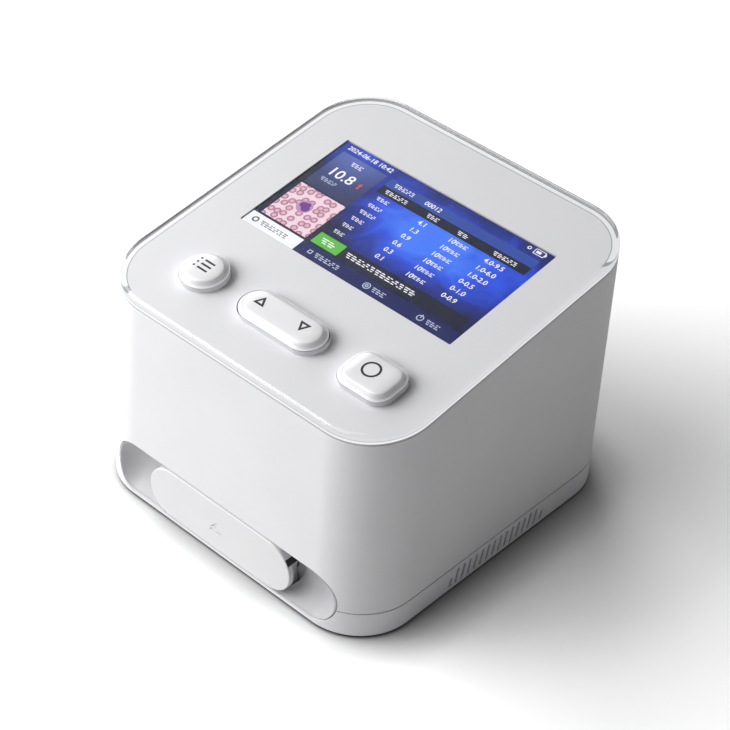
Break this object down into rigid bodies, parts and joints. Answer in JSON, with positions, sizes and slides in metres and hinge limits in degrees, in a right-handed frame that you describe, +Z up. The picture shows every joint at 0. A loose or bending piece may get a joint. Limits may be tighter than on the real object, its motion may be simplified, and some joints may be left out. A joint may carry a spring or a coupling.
{
  "type": "white blood cell analyzer",
  "caption": "Rounded desk-top blood cell analyzer with a sloped clear top over a screen and buttons, and a sliding cuvette drawer in a front recess.",
  "frame": {"origin": "middle of the footprint, on the surface the feet stand on", "axes": "+Z up, +X to the right seen from the front, +Y to the back; the drawer opens towards -Y"},
  "size_m": [0.1334, 0.1373, 0.1069],
  "materials": {
    "white_shell": "satin",
    "white_gloss": "gloss",
    "clear_cover": "polished",
    "screen_glass": "gloss",
    "black_plastic": "satin",
    "foot_rubber": "matte",
    "steel": "satin",
    "aluminium": "satin",
    "circuit_board": "satin",
    "lens_glass": "polished",
    "battery_wrap": "satin"
  },
  "bodies": {
    "housing": {"base_shell": "white_shell", "main_shell": "white_shell", "deck_plate": "white_gloss", "clear_cover": "clear_cover", "display_module": "screen_glass", "display_bracket": "steel", "rocker_cradle": "steel", "rocker_pin": "steel", "button_board": "circuit_board", "switch_menu": "black_plastic", "switch_up": "black_plastic", "switch_down": "black_plastic", "switch_confirm": "black_plastic", "button_board_screw_left": "steel", "button_board_screw_right": "steel", "foot_front_left": "foot_rubber", "foot_front_right": "foot_rubber", "foot_rear_left": "foot_rubber", "foot_rear_right": "foot_rubber", "case_screw_front_left": "steel", "case_screw_front_right": "steel", "case_screw_rear_left": "steel", "case_screw_rear_right": "steel", "recess_liner": "white_shell", "drawer_frame": "steel", "left_rail": "black_plastic", "right_rail": "black_plastic", "lamp_module": "aluminium", "condenser_lens": "lens_glass", "optics_column": "aluminium", "objective_barrel": "black_plastic", "objective_lens": "lens_glass", "camera_board": "circuit_board", "camera_sensor": "black_plastic", "battery_pack": "battery_wrap", "battery_strap": "steel", "main_board": "circuit_board", "main_board_screw_front_left": "steel", "main_board_screw_front_right": "steel", "main_board_screw_rear_left": "steel", "main_board_screw_rear_right": "steel", "processor": "black_plastic", "radio_module": "steel", "buzzer": "black_plastic", "dc_jack": "black_plastic", "usb_socket": "steel"},
    "drawer": {"drawer_front": "white_shell", "drawer_latch": "black_plastic", "drawer_tray": "white_shell", "cuvette_holder": "black_plastic", "drawer_screw_left": "steel", "drawer_screw_right": "steel"},
    "menu_key": {"menu_button": "white_gloss"},
    "rocker_key": {"rocker_button": "white_gloss"},
    "confirm_key": {"confirm_button": "white_gloss"}
  },
  "joints": [
    {"name": "drawer_slide", "type": "slide", "parent": "housing", "child": "drawer", "axis": [0, -1, 0], "range_m": [0, 0.042]},
    {"name": "menu_press", "type": "slide", "parent": "housing", "child": "menu_key", "axis": [0, 0.1564, -0.9877], "range_m": [0, 0.0006], "stiffness_N_per_m": 1500},
    {"name": "confirm_press", "type": "slide", "parent": "housing", "child": "confirm_key", "axis": [0, 0.1564, -0.9877], "range_m": [0, 0.0006], "stiffness_N_per_m": 1500},
    {"name": "rocker_tilt", "type": "hinge", "parent": "housing", "child": "rocker_key", "pos_m": [0.0006, -0.04082, 0.08203], "axis": [0, 0.9877, 0.1564], "range_deg": [-2.5, 2.5], "stiffness_Nm_per_rad": 0.15}
  ]
}
